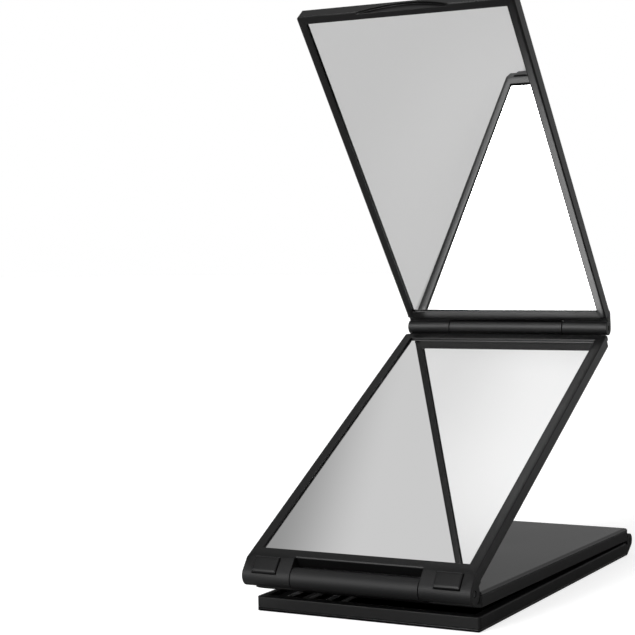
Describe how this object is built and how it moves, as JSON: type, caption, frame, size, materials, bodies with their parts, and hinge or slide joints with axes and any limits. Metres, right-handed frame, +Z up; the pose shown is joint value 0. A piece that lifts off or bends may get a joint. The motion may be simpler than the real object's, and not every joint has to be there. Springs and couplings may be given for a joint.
{
  "type": "four-way folding mirror",
  "caption": "Pocket mirror that folds out in a zigzag: rectangular mirrors in slim plastic frames, joined by full-width hinges, with push buttons on the front hinge lugs.",
  "frame": {"origin": "centre of the base panel's length and width, on its flat underside, which is also the surface the object stands on", "axes": "+X along the hinges, to the user's right; +Y from the front edge with the buttons to the rear hinge; +Z up"},
  "size_m": [0.0872, 0.1611, 0.2151],
  "materials": {
    "frame_plastic": "satin black moulded plastic",
    "cover_plastic": "satin black moulded plastic",
    "button_plastic": "satin black moulded plastic",
    "shoe_plastic": "natural acetal",
    "mirror_glass": "silvered glass",
    "adhesive_foam": "double-sided foam tape",
    "pin_steel": "plain steel rod",
    "spring_steel": "spring steel"
  },
  "bodies": {
    "base_panel": {"base_frame": "frame_plastic", "base_mirror": "mirror_glass", "base_mirror_pad": "adhesive_foam", "base_cover": "cover_plastic", "rear_hinge_pin": "pin_steel"},
    "second_panel": {"second_frame": "frame_plastic", "second_mirror": "mirror_glass", "second_mirror_pad": "adhesive_foam", "second_cover": "cover_plastic", "rear_friction_sleeves": "spring_steel", "front_hinge_pin": "pin_steel"},
    "third_panel": {"third_frame": "frame_plastic", "third_mirror": "mirror_glass", "third_mirror_pad": "adhesive_foam", "third_cover": "cover_plastic", "upper_friction_sleeves": "spring_steel", "left_button_spring": "spring_steel", "right_button_spring": "spring_steel"},
    "top_panel": {"top_frame": "frame_plastic", "top_mirror": "mirror_glass", "top_mirror_pad": "adhesive_foam", "top_cover": "cover_plastic", "upper_hinge_pin": "pin_steel"},
    "left_button": {"left_button_cap": "button_plastic", "left_lock_shoe": "shoe_plastic"},
    "right_button": {"right_button_cap": "button_plastic", "right_lock_shoe": "shoe_plastic"}
  },
  "joints": [
    {"name": "rear_hinge", "type": "hinge", "parent": "base_panel", "child": "second_panel", "pos_m": [0, 0.07475, 0.0058], "axis": [-1, 0, 0], "range_deg": [-0.8, 179.2]},
    {"name": "front_hinge", "type": "hinge", "parent": "second_panel", "child": "third_panel", "pos_m": [0, -0.07965, 0.01406], "axis": [1, 0, 0], "range_deg": [-29.3, 150.7]},
    {"name": "upper_hinge", "type": "hinge", "parent": "third_panel", "child": "top_panel", "pos_m": [0, 0.05322, 0.09314], "axis": [-1, 0, 0], "range_deg": [-81.1, 98.9]},
    {"name": "left_button_press", "type": "slide", "parent": "third_panel", "child": "left_button", "axis": [0, 0.7934, -0.6088], "range_m": [0, 0.0008], "stiffness_N_per_m": 1000, "springref_m": -0.001, "deforming": ["left_button_spring"]},
    {"name": "right_button_press", "type": "slide", "parent": "third_panel", "child": "right_button", "axis": [0, 0.7934, -0.6088], "range_m": [0, 0.0008], "stiffness_N_per_m": 1000, "springref_m": -0.001, "deforming": ["right_button_spring"]}
  ]
}
